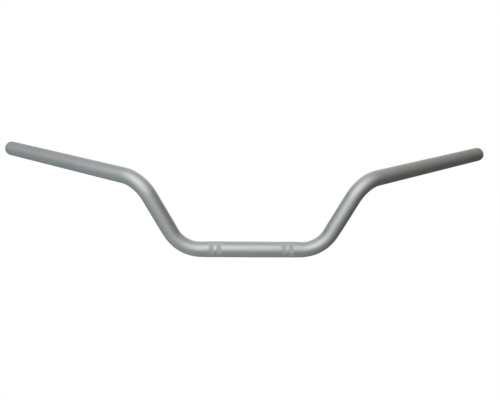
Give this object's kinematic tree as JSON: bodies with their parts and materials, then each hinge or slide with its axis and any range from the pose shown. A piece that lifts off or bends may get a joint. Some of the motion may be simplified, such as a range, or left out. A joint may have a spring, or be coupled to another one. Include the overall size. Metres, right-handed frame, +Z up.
{
  "type": "motorcycle handlebar",
  "caption": "Bent one-piece tube handlebar with upright risers, swept-back grip runs, knurled clamp bands and closed ends.",
  "frame": {"origin": "middle of the clamp section, on the tube's axis", "axes": "+X along the clamp section to the rider's left, +Y back towards the rider, +Z up along the plane of the risers"},
  "size_m": [0.781, 0.1565, 0.1467],
  "materials": {
    "silver_tube": "satin silver",
    "silver_plug": "satin silver"
  },
  "bodies": {
    "root": {"bar_tube": "silver_tube", "left_end_plug": "silver_plug", "right_end_plug": "silver_plug"}
  },
  "joints": []
}
